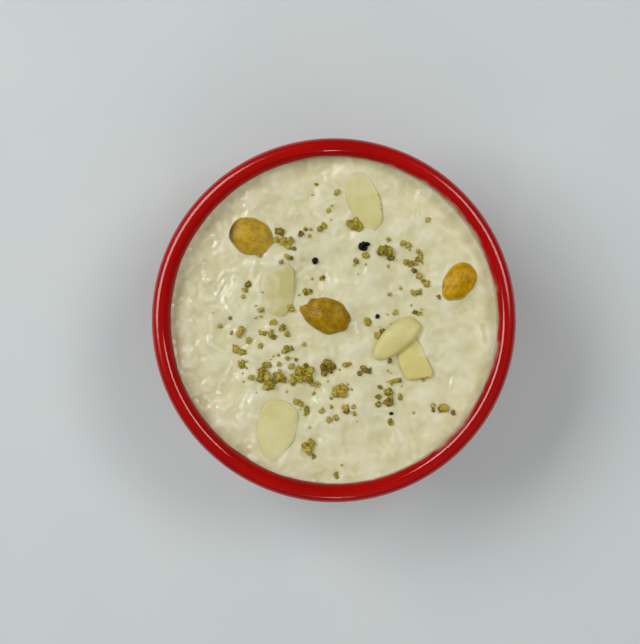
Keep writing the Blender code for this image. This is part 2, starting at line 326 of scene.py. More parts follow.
def melamine(name, scoured):
    # Melamine resin, pressed in a polished mould: an even deep red with a hard gloss, faintly uneven
    # like orange peel, rubbed by washing. Scouring has dulled the inner side, so it mirrors little of the
    # pudding. Above the pudding the bowl carries a thin smear of dried milk, and the smear's pink-to-cream
    # colour also paints the pudding's reflection in the steep inner wall.
    level = 0.06 if scoured else 0.5
    material, tree, shader = startMaterial(name, {"IOR": 1.62, "Metallic": 0.0, "Specular IOR Level": level})
    place = addNode(tree, "ShaderNodeTexCoord")
    cloud = addNode(tree, "ShaderNodeTexNoise", {"Vector": (place, "Object")},
                    {"Scale": 1 / (22 * mm), "Detail": 3.0})
    red = addNode(tree, "ShaderNodeValToRGB", {"Fac": (cloud, "Fac")})
    setStops(red, {0.35: bowl["deepRed"], 0.62: bowl["red"]})
    # the smear hugs the milk's edge; it climbs highest on the +X side and at the +Y end, and ends raggedly;
    # it is partly dried milk and partly painted reflection of the pudding in the inner wall
    split = addNode(tree, "ShaderNodeSeparateXYZ", {"Vector": (place, "Object")})
    reach = None
    for way, first in (((0.84, -0.54), 0.3), ((0.8, 0.6), 0.15)):
        swing = addNode(tree, "ShaderNodeVectorMath", {0: (place, "Object")},
                        {1: (way[0] / (60 * mm), way[1] / (60 * mm), 0.0)}, operation="DOT_PRODUCT")
        side = addNode(tree, "ShaderNodeMapRange", {"Value": (swing, "Value")},
                       {"From Min": first, "From Max": 1.0, "To Min": 0.0, "To Max": bowl["smearAndReflectionClimb"] * mm})
        if reach:
            side = addNode(tree, "ShaderNodeMath", {0: (reach, "Value"), 1: (side, "Result")}, operation="MAXIMUM")
            reach = side
        else:
            reach = addNode(tree, "ShaderNodeMath", {0: (side, "Result")}, {1: 0.0}, operation="ADD")
    wander = addNode(tree, "ShaderNodeTexNoise", {"Vector": (place, "Object")}, {"Scale": 1 / (10 * mm)})
    uneven = addNode(tree, "ShaderNodeMapRange", {"Value": (wander, "Fac")},
                     {"From Min": 0.35, "From Max": 0.65, "To Min": -0.9 * mm, "To Max": 0.9 * mm})
    climb = addNode(tree, "ShaderNodeMath", {0: (reach, "Value"), 1: (uneven, "Result")}, operation="ADD")
    stretch = addNode(tree, "ShaderNodeMapping", {"Vector": (place, "Object")}, {"Scale": (1.0, 1.0, 0.55)})
    streak = addNode(tree, "ShaderNodeTexNoise", {"Vector": (stretch, "Vector")},
                     {"Scale": 1 / (3.0 * mm), "Detail": 1.0})
    ragged = addNode(tree, "ShaderNodeMath", {0: (streak, "Fac"), 2: (climb, "Value")}, {1: 0.9 * mm},
                     operation="MULTIPLY_ADD")
    under = addNode(tree, "ShaderNodeMath", {0: (ragged, "Value"), 1: (split, "Z")}, operation="SUBTRACT")
    # how far the wall is coloured by the milk smear and the painted reflection of the pudding
    film = addNode(tree, "ShaderNodeMapRange", {"Value": (under, "Value")},
                   {"From Min": -(pudding["level"] + 2.2) * mm, "From Max": -(pudding["level"] - 0.4) * mm,
                    "To Min": 0.0, "To Max": 0.9 if scoured else 0.0})
    milkSmearAndReflection = addNode(tree, "ShaderNodeValToRGB", {"Fac": (film, "Result")})
    setStops(milkSmearAndReflection, {0.2: bowl["smearAndReflectionPink"], 0.9: bowl["smearAndReflectionMilk"]})
    tint = addNode(tree, "ShaderNodeMix", {"Factor": (film, "Result"), "A": (red, "Color"), "B": (milkSmearAndReflection, "Color")},
                   data_type="RGBA")
    tree.links.new(tint.outputs["Result"], shader.inputs["Base Color"])
    worn = addNode(tree, "ShaderNodeTexNoise", {"Vector": (place, "Object")},
                   {"Scale": 1 / (9 * mm), "Detail": 4.0})
    polish = 0.46 if scoured else 0.06
    gloss = addNode(tree, "ShaderNodeMapRange", {"Value": (worn, "Fac")},
                    {"From Min": 0.3, "From Max": 0.75, "To Min": polish, "To Max": polish + 0.05})
    # stacking has rubbed the lip's outer side
    flat = addNode(tree, "ShaderNodeVectorMath", {0: (place, "Object")}, {1: (1.0, 1.0, 0.0)}, operation="MULTIPLY")
    outward = addNode(tree, "ShaderNodeVectorMath", {0: (flat, "Vector")}, operation="LENGTH")
    rubbed = addNode(tree, "ShaderNodeMapRange", {"Value": (outward, "Value")},
                     {"From Min": bowl["crestRadius"] * mm, "From Max": (bowl["crestRadius"] + 1.2) * mm,
                      "To Min": 0.0, "To Max": 0.11})
    rough = addNode(tree, "ShaderNodeMath", {0: (gloss, "Result"), 1: (rubbed, "Result")}, operation="ADD")
    tree.links.new(rough.outputs["Value"], shader.inputs["Roughness"])
    peel = addNode(tree, "ShaderNodeTexNoise", {"Vector": (place, "Object")},
                   {"Scale": 1 / (2.4 * mm), "Detail": 1.0})
    bump = addNode(tree, "ShaderNodeBump", {"Height": (peel, "Fac")}, {"Strength": 1.0, "Distance": 0.006 * mm})
    tree.links.new(bump.outputs["Normal"], shader.inputs["Normal"])
    return material


def addBowl():
    # the section carried once round the Z axis
    section = bowlSection()
    turn = np.arange(bowl["columns"]) * fullTurn / bowl["columns"]
    around = np.stack([np.cos(turn), np.sin(turn)], -1)
    rings = np.concatenate([section[:, None, :1] * around[None],
                            np.broadcast_to(section[:, None, 1:], (len(section), len(turn), 1))], -1)
    quads, triangles = bodyFaces(1, len(section), len(turn))
    poles = np.array([[[0, 0, bowl["floorTop"]]], [[0, 0, bowl["footRecess"]]]], float)
    points = bodyPoints(rings[None], poles[0], poles[1])
    # rows of the section up to where the lip's inner side has turned halfway to level are scoured
    steep = int(np.argmax(section[:, 0] * (section[:, 1] > bowl["lipBase"]) > bowl["cavityRadius"] + 1.0))
    scoured = np.zeros(len(quads) + len(triangles), bool)
    scoured[: steep * len(turn)] = True
    scoured[len(quads) : len(quads) + len(turn)] = True
    makePiece("bowl_shell", points, quads, triangles, melamine("pressedRedMelamine", False),
              ["bowl"], second=melamine("scouredRedMelamine", True), secondFaces=scoured)


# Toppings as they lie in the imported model: where, how large, which way the tip points, and how high over
# the milk. Flakes cut from the almond's rounded side are domed.
# A raisin's corners are (angle round its middle, share added to the outline there, width of the corner),
# and its tone runs from olive to orange. A flake's blunt is how square its round end is (1 is round), its
# tip how pointed the other end is (0 is round), its tone runs from pale to yellow, and its skins are
# (x, y, radius) of the scraps of brown skin left on it. Its slant shears the round end, its bare is how far
# it stands out of the milk, its covered spots are (x, y, radius, rise) of milk lying on it, and its shade is
# how far the milk soaked into it greys it.
raisins = {
    "raisin_1": dict(
        at=(-29.3, 30.1), size=(16.8, 13.6, 8.6), heading=-14, taper=0.16, folds=5, above=3.7, tone=0.45, pale=0.3, stem=1.0,
        corners=[(0, 0.07, 22), (50, 0.1, 22), (-50, 0.14, 24), (-125, -0.13, 24), (140, 0.02, 25)],
    ),
    "raisin_2": dict(
        at=(-2.6, 2.0), size=(18.2, 12.4, 9.0), heading=166, taper=0.22, folds=6, above=3.9, tone=0.0,
        corners=[(0, 0.09, 16), (-22, -0.03, 9), (-45, 0.09, 13), (-178, 0.04, 12), (150, 0.05, 14),
                 (-140, -0.05, 14), (-85, 0.12, 22), (95, 0.04, 16), (40, 0.04, 16)],
    ),
    "raisin_3": dict(
        at=(45.0, 13.8), size=(15.2, 11.6, 8.2), heading=238, taper=0.06, folds=5, above=3.2, tone=1.0,
        corners=[(-5, 0.14, 26), (-105, -0.12, 30), (85, -0.09, 28), (140, 0.08, 22), (180, 0.02, 20)],
    ),
}
flakes = {
    "almond_flake_1": dict(
        at=(11.5, 42.2), size=(21.4, 11.4, 1.3), heading=-69, lean=(-5, 2), above=1.1, blunt=0.72, tip=0.2,
        tone=0.6, shade=0.1, skins=[(15.6, 45.0, 0.4), (16.2, 43.4, 0.5), (16.7, 41.6, 0.5), (16.9, 39.8, 0.4)],
    ),
    "almond_flake_2": dict(
        at=(-19.8, 11.0), size=(19.4, 12.2, 1.2), heading=-92, lean=(0, 2), above=0.5, blunt=0.62, tip=0.1,
        covered=[(-21.4, 22.4, 4.0, 0.9), (-16.2, 21.0, 4.2, 0.9)], shade=0.5,
        tone=0.8, skins=[(-24.0, 3.6, 0.5)],
    ),
    "almond_flake_3": dict(
        at=(22.5, -6.5), size=(20.2, 9.4, 1.5), heading=221, lean=(5, -3), above=2.6, dome=1.2, blunt=0.72,
        tip=0.06, tone=0.8, shade=0.12, skins=[(27.8, -3.9, 0.5), (26.6, -5.9, 0.4)],
    ),
    "almond_flake_4": dict(
        at=(28.1, -12.5), size=(18.4, 9.8, 1.2), heading=111, lean=(0, 4), above=0.7, blunt=0.45, tip=0.3,
        slant=0.25, bare=0.6,
        tone=1.0, skins=[(33.6, -16.5, 0.4), (34.0, -18.4, 0.4), (33.7, -20.6, 0.5), (31.6, -21.0, 0.5)],
    ),
    "almond_flake_5": dict(
        at=(-20.4, -39.7), size=(22.4, 14.3, 1.3), heading=-102, lean=(-6, 1), above=1.2, blunt=0.82, tip=0.28,
        tone=0.35, skins=[],
    ),
}

# The pudding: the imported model's swells, with every grain under the milk's skin added.
pudding = {
    "level": 47.0,
    "swells": 7,
    "longestSwell": 34.0,
    "swellShrink": 0.78,
    "swellSlope": 0.0125,
    "creep": 0.7,
    "creepReach": 2.0,
    "clotRadius": 53.7,
    "clotFrom": math.radians(168),
    "clotTo": math.radians(196),
    "clotHalfWidth": 3.6,
    "clotHeight": 0.7,
    "mapStep": 0.25,
    "mapReach": 62.0,
    "intoWall": 0.15,
    "gridColumns": 292,
}
# Forms of the surface, in millimetres. Mounds: x, y, radius and height. The rest run between two ends, with
# a half width and a height: ridges have straight flanks that catch the lights.
mounds = [
    (14.0, -26.0, 7.5, 0.45), (26.0, -23.0, 5.5, 0.5), (30.5, -29.0, 5.0, 0.4),
    (22.0, -37.0, 6.5, 0.5), (11.0, -39.0, 6.0, 0.35), (33.5, -37.0, 5.5, 0.4),
    (37.5, -19.5, 6.0, 0.3), (2.0, -44.0, 6.0, 0.35), (-7.5, -40.0, 5.0, 0.3), (44.5, -7.5, 5.5, 0.3),
    (-45.0, 10.0, 4.5, 0.4), (-42.0, -13.5, 4.8, 0.45), (-37.0, 20.0, 4.2, 0.4),
    (-32.0, -29.0, 5.5, 0.35), (-47.0, 24.0, 4.0, 0.35), (32.5, 37.5, 5.0, 0.3),
    (-13.5, 47.5, 5.5, 0.25), (47.5, 28.0, 4.5, 0.3), (-35.0, -1.5, 4.0, 0.35), (20.0, 17.0, 6.5, 0.2),
    (-21.0, 15.5, 6.0, 0.5),
]
grooves = [
    ((-51.0, -6.5), (-50.5, -12.5), 0.8, 0.16), ((-50.5, -12.5), (-51.5, -17.0), 0.8, 0.18),
    ((-51.5, -17.0), (-53.5, -19.0), 0.7, 0.2),
    ((54.0, -2.0), (54.5, -7.0), 0.8, 0.7), ((17.5, -43.5), (22.0, -45.0), 1.3, 0.18),
    ((22.0, -45.0), (27.0, -44.5), 1.3, 0.16), ((29.0, -40.0), (33.5, -37.0), 1.3, 0.14),
    ((33.5, -37.0), (38.0, -32.5), 1.2, 0.14), ((4.5, -37.5), (4.0, -42.5), 1.2, 0.18),
    ((4.0, -42.5), (5.5, -48.0), 1.2, 0.16), ((-3.5, -35.5), (-6.0, -44.0), 1.1, 0.15),
    ((30.0, -19.0), (35.5, -21.5), 1.1, 0.15),
]
ridges = [
    ((-47.0, 20.5), (-47.0, 16.5), 0.86, 0.32), ((-47.0, 16.5), (-45.5, 13.5), 0.86, 0.32),
    ((-39.5, 14.5), (-42.0, 9.5), 0.86, 0.34), ((-39.5, 7.0), (-36.5, 2.5), 0.94, 0.38),
    ((-45.0, -5.5), (-45.0, -8.5), 0.79, 0.32), ((-45.0, -8.5), (-40.0, -11.0), 0.86, 0.32),
    ((-41.0, -23.0), (-41.5, -26.5), 0.86, 0.34), ((-31.5, 41.0), (-30.5, 38.5), 0.86, 0.32),
    ((-29.0, 42.5), (-28.0, 41.0), 0.72, 0.27), ((21.0, 13.0), (21.0, 10.0), 0.65, 0.26),
    ((21.0, 9.5), (24.0, 10.0), 0.65, 0.4), ((24.0, 10.0), (25.0, 8.0), 0.65, 0.4),
    ((8.0, -2.5), (8.5, -4.5), 0.72, 0.42), ((21.5, -40.0), (22.0, -42.0), 0.72, 0.29),
    ((-6.5, -28.5), (-5.0, -30.0), 0.79, 0.3), ((0.0, 49.5), (1.0, 48.5), 0.65, 0.24),
    ((29.0, 38.0), (28.5, 36.0), 0.58, 0.22), ((30.5, 38.0), (31.0, 36.5), 0.58, 0.21),
    ((-36.5, 15.0), (-36.0, 13.5), 0.79, 0.3), ((-52.0, 8.0), (-52.0, 6.0), 0.79, 0.3),
    ((-53.5, 18.0), (-53.0, 16.0), 0.86, 0.27), ((-28.0, 21.0), (-27.5, 20.0), 0.65, 0.24),
    ((-36.5, -15.5), (-38.5, -19.5), 0.79, 0.29), ((-46.5, -27.0), (-44.0, -30.5), 0.79, 0.27),
    ((-30.5, -29.5), (-29.0, -32.5), 0.72, 0.26), ((-43.5, 31.0), (-42.0, 27.5), 0.79, 0.29),
    ((35.5, -3.0), (34.5, -6.0), 0.72, 0.22), ((43.0, -20.5), (42.0, -24.0), 0.72, 0.24),
    ((12.5, 19.5), (11.5, 17.0), 0.65, 0.2), ((-13.0, 39.0), (-14.0, 36.0), 0.65, 0.21),
]
rice = {
    "spacing": 2.3,
    "jitter": 0.42,
    "length": (2.8, 5.0),
    "width": (1.25, 1.65),
    "flatness": 0.7,
    "bumpRise": 0.4,
    "thinSkin": 0.34,  # how far the milk rounds a grain off where its skin is thin, and where it is thick
    "thickSkin": 0.5,
    "proud": (-0.75, -0.07),
    "rows": 8,
    "columns": 10,
    "seed": 11,
}

mapAxis = np.arange(-pudding["mapReach"], pudding["mapReach"] + pudding["mapStep"] / 2, pudding["mapStep"])
mapX, mapY = np.meshgrid(mapAxis, mapAxis)


def readMap(heights, x, y):
    # a height map between its points, by two straight blends
    column = np.clip((x + pudding["mapReach"]) / pudding["mapStep"], 0, len(mapAxis) - 1.001)
    row = np.clip((y + pudding["mapReach"]) / pudding["mapStep"], 0, len(mapAxis) - 1.001)
    i, j = row.astype(int), column.astype(int)
    up, over = row - i, column - j
    low = heights[i, j] * (1 - over) + heights[i, j + 1] * over
    high = heights[i + 1, j] * (1 - over) + heights[i + 1, j + 1] * over
    return low * (1 - up) + high * up


def blurMap(heights, radius):
    # a Gaussian blur, done by damping each frequency
    frequency = np.fft.fftfreq(len(mapAxis), pudding["mapStep"])
    damp = np.exp(-2 * (math.pi * radius * frequency) ** 2)
    return np.fft.ifft2(np.fft.fft2(heights) * damp[:, None] * damp[None]).real


def plainHeight(x, y):
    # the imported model's surface: sine swells, each shorter than the last and turned from it, the roll of
    # rice along the wall, and the milk's climb up the wall, which dies away as e to the distance
    height, length = np.full(np.shape(x), pudding["level"]), pudding["longestSwell"]
    for wave in range(pudding["swells"]):
        heading = wave * goldenAngle
        along = x * math.cos(heading) + y * math.sin(heading)
        height = height + pudding["swellSlope"] * length * np.sin(fullTurn * along / length + wave * wave)
        length *= pudding["swellShrink"]
    nearest = np.clip(np.arctan2(y, x) % fullTurn, pudding["clotFrom"], pudding["clotTo"])
    away = np.hypot(x - pudding["clotRadius"] * np.cos(nearest), y - pudding["clotRadius"] * np.sin(nearest))
    height = height + pudding["clotHeight"] * np.clip(1 - (away / pudding["clotHalfWidth"]) ** 2, 0, 1)
    fromWall = np.clip(bowl["cavityRadius"] - np.hypot(x, y), 0, None)
    return height + pudding["creep"] * np.exp(-fromWall / pudding["creepReach"])


def capsuleWindow(start, end, halfWidth):
    # the part of the map round a capsule, and each point's distance from its middle line
    low, high = np.minimum(start, end) - halfWidth, np.maximum(start, end) + halfWidth
    first = np.clip(np.floor((low + pudding["mapReach"]) / pudding["mapStep"]).astype(int), 0, len(mapAxis))
    last = np.clip(np.ceil((high + pudding["mapReach"]) / pudding["mapStep"]).astype(int) + 1, 0, len(mapAxis))
    window = (slice(first[1], last[1]), slice(first[0], last[0]))
    run = end - start
    share = ((mapX[window] - start[0]) * run[0] + (mapY[window] - start[1]) * run[1]) / max(run @ run, 1e-9)
    share = np.clip(share, 0, 1)
    return window, np.hypot(mapX[window] - start[0] - share * run[0], mapY[window] - start[1] - share * run[1])


def toppingReach(x, y, piece, tip):
    # 1 on a topping's outline and less inside it, from its own length and width axes
    turn = math.radians(piece["heading"])
    dx, dy = x - piece["at"][0], y - piece["at"][1]
    along = (dx * math.cos(turn) + dy * math.sin(turn)) / (piece["size"][0] / 2)
    across = (-dx * math.sin(turn) + dy * math.cos(turn)) / (piece["size"][1] / 2)
    pinch = 1 - tip * np.clip(along, -0.5, 1)
    return np.hypot(along, across / pinch)


def layGrains():
    # grains on a jittered lattice, turning with a slow noise, and clear of the toppings
    rng = np.random.default_rng(rice["seed"])
    count = int(2 * pudding["mapReach"] / rice["spacing"])
    row, column = np.meshgrid(np.arange(count), np.arange(count), indexing="ij")
    x = (column + 0.5 * (row % 2)) * rice["spacing"] - pudding["mapReach"]
    y = row * rice["spacing"] - pudding["mapReach"]
    x, y = (axis.ravel() + rng.uniform(-1, 1, axis.size) * rice["jitter"] * rice["spacing"] for axis in (x, y))
    near = np.stack([x, y], -1)
    heading = waveNoise(near, 26, 5) * 1.3 + rng.normal(0, 0.75, x.size)
    grains = dict(
        x=x, y=y, heading=heading,
        length=rng.uniform(*rice["length"], x.size) * np.where(rng.random(x.size) < 0.25, 0.62, 1.0),
        width=rng.uniform(*rice["width"], x.size),
        bend=rng.normal(0, 0.22, x.size),
        tilt=rng.normal(0, 0.07, x.size),
        proud=rng.uniform(*rice["proud"], x.size),
        rise=rice["bumpRise"] * rng.uniform(0.1, 1.0, x.size) ** 2,
    )
    clear = np.ones(x.size, bool)
    for piece in raisins.values():
        clear &= toppingReach(x, y, piece, 0.15) > 1.1
    for piece in flakes.values():
        clear &= toppingReach(x, y, piece, 0.2) > 1.12
    return {name: values[clear] for name, values in grains.items()}


def looseness(x, y):
    # how bare the grains lie: 1 on the -X side, where the milk has drained, down to 0 in the middle
    drift = waveNoise(np.stack([x, y], -1), 30, 8) * 0.16
    fromMiddle = np.hypot(x, y) / bowl["cavityRadius"]
    return np.clip(0.32 - x / 75 + 0.35 * fromMiddle**3 + drift, 0, 1)


def pressTopping(heights, piece, tip, rise, reach):
    # the milk's skin climbs a topping's edge by rise, and lies flat again within reach
    distance = (toppingReach(mapX, mapY, piece, tip) - 1) * piece["size"][1] / 2
    return heights + rise * np.exp(-np.clip(distance, 0, None) / reach)


def sinkFlake(heights, piece):
    # the milk stays a little under a flake's leaning top, and closes back to its own height within 1.2 mm
    # of the outline, except where the flake's milk covers it: x, y and radius
    roll, pitch = (math.radians(angle) for angle in piece.get("lean", (0, 0)))
    turn = math.radians(piece["heading"])
    normal = turnMatrices(np.array(roll), np.array(pitch), np.array(turn))[:, 2]
    dx, dy = mapX - piece["at"][0], mapY - piece["at"][1]
    top = float(plainHeight(*(np.array(part) for part in piece["at"]))) + piece["above"]
    top = top - (normal[0] * dx + normal[1] * dy) / normal[2]
    outside = (toppingReach(mapX, mapY, piece, 0.2) - 1) * piece["size"][1] / 2
    ceiling = top - piece.get("bare", 0.35) + 1.5 * np.clip(outside - 0.4, 0, None)
    heights = np.where(outside < 1.6, np.minimum(heights, ceiling), heights)
    for x, y, radius, rise in piece.get("covered", []):
        heights = heights + rise * np.exp(-(((mapX - x) ** 2 + (mapY - y) ** 2) / radius**2) ** 1.5)
    return heights


def raiseCapsules(rows, profile):
    # a map of capsules, each its height times a profile of the distance over its half width
    layer = np.zeros_like(mapX)
    for start, end, halfWidth, height in rows:
        window, distance = capsuleWindow(np.array(start), np.array(end), 3 * halfWidth)
        layer[window] = np.maximum(layer[window], height * profile(distance / halfWidth))
    return layer


def makeHeightMaps(grains):
    # every bump of the surface on one map, how far each point stands over its neighbours (which the cream's
    # colour turns into painted light and shade), and how wet it is
    run = np.stack([np.cos(grains["heading"]), np.sin(grains["heading"])], -1)
    middle = np.stack([grains["x"], grains["y"]], -1)
    half = np.clip(grains["length"] - grains["width"], 0.4, None)[:, None] / 2 * run
    layer = raiseCapsules(zip(middle - half, middle + half, grains["width"] * 0.62, grains["rise"]),
                          lambda share: np.sqrt(np.clip(1 - share**2, 0, 1)))
    bare = looseness(mapX, mapY)
    grainy = bare * blurMap(layer, rice["thinSkin"]) + (1 - bare) * 0.8 * blurMap(layer, rice["thickSkin"])
    soft = blurMap(raiseCapsules(ridges, lambda share: np.clip(1 - share, 0, 1)), 0.15)
    soft -= raiseCapsules(grooves, lambda share: np.exp(-(share**2)))
    for x, y, radius, rise in mounds:
        soft += 0.4 * rise * np.exp(-(((mapX - x) ** 2 + (mapY - y) ** 2) / radius**2) ** 1.5)
    spots = np.stack([mapX, mapY], -1)
    lumps = 0.028 * waveNoise(spots, 7.5, 21) + 0.018 * waveNoise(spots, 3.6, 22)
    curd = 0.014 * waveNoise(spots, 1.4, 23)
    heights = plainHeight(mapX, mapY) + grainy + soft + lumps + curd - 0.3
    for piece in raisins.values():
        heights = pressTopping(heights, piece, 0.15, 0.5, 0.8)
    for piece in flakes.values():
        heights = pressTopping(heights, piece, 0.2, 0.22, 0.7)
        heights = sinkFlake(heights, piece)
    shine = raiseCapsules(ridges, lambda share: np.exp(-((share / 1.6) ** 4)))
    wet = np.clip(0.08 + 0.17 * bare + 0.1 * waveNoise(spots, 5.0, 24) + shine, 0, 1)
    return heights, heights - blurMap(heights, 1.6), wet


def milkPudding():
    # Boiled-down milk round soft rice: an opaque cream with light scattering a few millimetres inside it,
    # whiter on the rises, partly the white of a grain just under the skin and partly painted light, darker
    # and yellower in the hollows as painted shade, and wettest where it drains.
    material, tree, shader = startMaterial("reducedMilkCream", {
        "IOR": 1.36, "Subsurface Weight": 0.45, "Subsurface Radius": (1.0, 0.78, 0.42),
        "Subsurface Scale": 1.8 * mm, "Coat Roughness": 0.07, "Coat IOR": 1.8,
    })
    place = addNode(tree, "ShaderNodeTexCoord")
    lift, wet = (addNode(tree, "ShaderNodeAttribute", attribute_name=label) for label in ("lift", "wet"))
    patch = addNode(tree, "ShaderNodeTexNoise", {"Vector": (place, "Object")},
                    {"Scale": 1 / (7 * mm), "Detail": 4.0, "Roughness": 0.6})
    sway = addNode(tree, "ShaderNodeMapRange", {"Value": (patch, "Fac")},
                   {"From Min": 0.3, "From Max": 0.7, "To Min": -0.07, "To Max": 0.07})
    # the colour follows how far a point stands over its neighbours: painted light on the rises, painted shade in
    # the hollows
    height = addNode(tree, "ShaderNodeMath", {0: (lift, "Fac"), 1: (sway, "Result")}, operation="ADD")
    share = addNode(tree, "ShaderNodeMapRange", {"Value": (height, "Value")},
                    {"From Min": -0.26, "From Max": 0.26})
    cream = addNode(tree, "ShaderNodeValToRGB", {"Fac": (share, "Result")})
    setStops(cream, {0.1: "#DFD9AC", 0.42: "#E6E1B8", 0.66: "#EBE7C2", 0.95: "#F0ECCE"})
    tree.links.new(cream.outputs["Color"], shader.inputs["Base Color"])
    patchy = addNode(tree, "ShaderNodeTexNoise", {"Vector": (place, "Object")},
                     {"Scale": 1 / (2.2 * mm), "Detail": 3.0})
    skinned = addNode(tree, "ShaderNodeMapRange", {"Value": (patchy, "Fac")},
                      {"From Min": 0.3, "From Max": 0.7, "To Min": 0.4, "To Max": 0.55})
    gloss = addNode(tree, "ShaderNodeMath", {0: (wet, "Fac"), 2: (skinned, "Result")}, {1: -0.2},
                    operation="MULTIPLY_ADD")
    tree.links.new(gloss.outputs["Value"], shader.inputs["Roughness"])
    curd = addNode(tree, "ShaderNodeTexNoise", {"Vector": (place, "Object")},
                   {"Scale": 1 / (0.9 * mm), "Detail": 3.0, "Roughness": 0.55})
    bump = addNode(tree, "ShaderNodeBump", {"Height": (curd, "Fac")}, {"Strength": 1.0, "Distance": 0.05 * mm})
    tree.links.new(bump.outputs["Normal"], shader.inputs["Normal"])
    # the wet film's own ripples throw the small white glints
    tree.links.new(wet.outputs["Fac"], shader.inputs["Coat Weight"])
    ripple = addNode(tree, "ShaderNodeTexNoise", {"Vector": (place, "Object")},
                     {"Scale": 1 / (1.3 * mm), "Detail": 2.0, "Roughness": 0.5})
    rippled = addNode(tree, "ShaderNodeBump", {"Height": (ripple, "Fac")}, {"Strength": 1.0, "Distance": 0.14 * mm})
    tree.links.new(rippled.outputs["Normal"], shader.inputs["Coat Normal"])
    return material


def addPudding(heights, lift, wet, material):
    # the top is a square grid drawn out to a disc, x = u sqrt(1 - v^2/2) and y = v sqrt(1 - u^2/2), that
    # reaches just into the wall; rings that follow the wall and a pole close it below
    count = pudding["gridColumns"]
    line = np.linspace(-1, 1, count)
    u, v = np.meshgrid(line, line)
    x, y = u * np.sqrt(1 - v * v / 2), v * np.sqrt(1 - u * u / 2)
    edgeHeight = readMap(heights, x * bowl["cavityRadius"], y * bowl["cavityRadius"])
    radius = cavityRadiusAt(np.where(np.hypot(x, y) > 0.9, edgeHeight, pudding["level"])) + pudding["intoWall"]
    x, y = x * radius, y * radius
    top = np.stack([x, y, readMap(heights, x, y)], -1)
    index = np.arange(count * count).reshape(count, count)
    quads = np.stack([index[:-1, :-1], index[:-1, 1:], index[1:, 1:], index[1:, :-1]], -1).reshape(-1, 4)
    loop = np.concatenate([index[0, :-1], index[:-1, -1], index[-1, :0:-1], index[:0:-1, 0]])
    edge = top.reshape(-1, 3)[loop]
    outward = edge[:, :2] / np.linalg.norm(edge[:, :2], axis=1, keepdims=True)
    depths = np.array([42.0, 36.0, 28.0, 20.0, 13.0, 8.5])
    rings = [np.concatenate([outward * (cavityRadiusAt(depth) - 0.3), np.full((len(edge), 1), depth)], 1)
             for depth in depths]
    lowest = bowl["floorTop"] + 0.5
    points = np.concatenate([top.reshape(-1, 3), *rings, [[0, 0, lowest]]])
    loops = [loop] + [count * count + ring * len(loop) + np.arange(len(loop)) for ring in range(len(rings))]
    for upper, lower in zip(loops, loops[1:]):
        quads = np.concatenate([quads, np.stack([upper, lower, np.roll(lower, -1), np.roll(upper, -1)], -1)])
    pole = np.full(len(loop), len(points) - 1)
    triangles = np.stack([loops[-1], pole, np.roll(loops[-1], -1)], -1)
    marks = {"lift": np.zeros(len(points)), "wet": np.zeros(len(points))}
    for label, source in (("lift", lift), ("wet", wet)):
        marks[label][: count * count] = readMap(source, x, y).ravel()
    makePiece("milk_surface", points, quads, triangles, material, ["kheer"], marks)


def addGrains(grains, heights, lift, wet, material):
    # each grain is rings of radius (1 - t^2)^0.42 along its length, bowed sideways by 1 - t^2
    film = readMap(heights, grains["x"], grains["y"])
    proud = grains["proud"] + 0.16 * looseness(grains["x"], grains["y"])
    inside = np.hypot(grains["x"], grains["y"]) + grains["length"] / 2 < bowl["cavityRadius"] - 0.6
    kept = (proud > 0.06) & inside
    grains = {name: values[kept] for name, values in grains.items()}
    film, proud = film[kept], proud[kept]
    t = np.cos(np.arange(1, rice["rows"] + 1) * math.pi / (rice["rows"] + 1))
    girth = (1 - t**2) ** 0.42
    turn = np.arange(rice["columns"]) * fullTurn / rice["columns"]
    half = grains["width"][:, None, None] / 2
    bow = grains["bend"][:, None, None] * (1 - t[None, :, None] ** 2)
    local = np.stack([
        np.broadcast_to(grains["length"][:, None, None] / 2 * t[None, :, None], (len(film), len(t), len(turn))),
        half * girth[None, :, None] * np.cos(turn)[None, None] + bow,
        half * rice["flatness"] * girth[None, :, None] * np.sin(turn)[None, None],
    ], -1)
    matrices = turnMatrices(np.zeros(len(film)), grains["tilt"], grains["heading"])
    centre = np.stack([grains["x"], grains["y"],
                       film + proud - grains["width"] / 2 * rice["flatness"]], -1)
    rings = np.einsum("bij,brcj->brci", matrices, local) + centre[:, None, None]
    reach = matrices[:, :, 0] * grains["length"][:, None] / 2
    points = bodyPoints(rings, centre + reach, centre - reach)
    quads, triangles = bodyFaces(len(film), len(t), len(turn))
    # the grains take the milk's painted light and shade from the map, a little whiter
    makePiece("rice_grains", points, quads, triangles, material, [],
              {"lift": readMap(lift, points[:, 0], points[:, 1]) + 0.05,
               "wet": readMap(wet, points[:, 0], points[:, 1])})


def placeRings(piece, thickness, rings, poles):
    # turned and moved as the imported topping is: its lean, then its heading, at its height over the milk
    x, y = piece["at"]
    roll, pitch = (math.radians(angle) for angle in piece.get("lean", (0, 0)))
    matrix = turnMatrices(np.array(roll), np.array(pitch), np.array(math.radians(piece["heading"])))
    centre = np.array([x, y, float(plainHeight(np.array(x), np.array(y))) + piece["above"] - thickness / 2])
    return rings @ matrix.T + centre, poles @ matrix.T + centre


raisinLook = {"rows": 110, "columns": 156, "foldDepth": 0.04, "twist": 1.5, "wrinkleDepth": 0.15,
              "wrinkleSize": 2.5, "dent": 0.13, "dentSize": 6.0, "stemReach": 0.22}


def cornered(rings, piece):
    # the outline pulled out or in by bell curves of the angle round the raisin's middle
    length, width, _ = piece["size"]
    angle = np.arctan2(rings[..., 1] / width, rings[..., 0] / length)
    factor = np.ones(angle.shape)
    for middle, share, spread in piece["corners"]:
        away = (angle - math.radians(middle) + math.pi) % fullTurn - math.pi
        factor += share * np.exp(-((away / math.radians(spread)) ** 2))
    return rings * np.stack([factor, factor, np.ones(factor.shape)], -1)


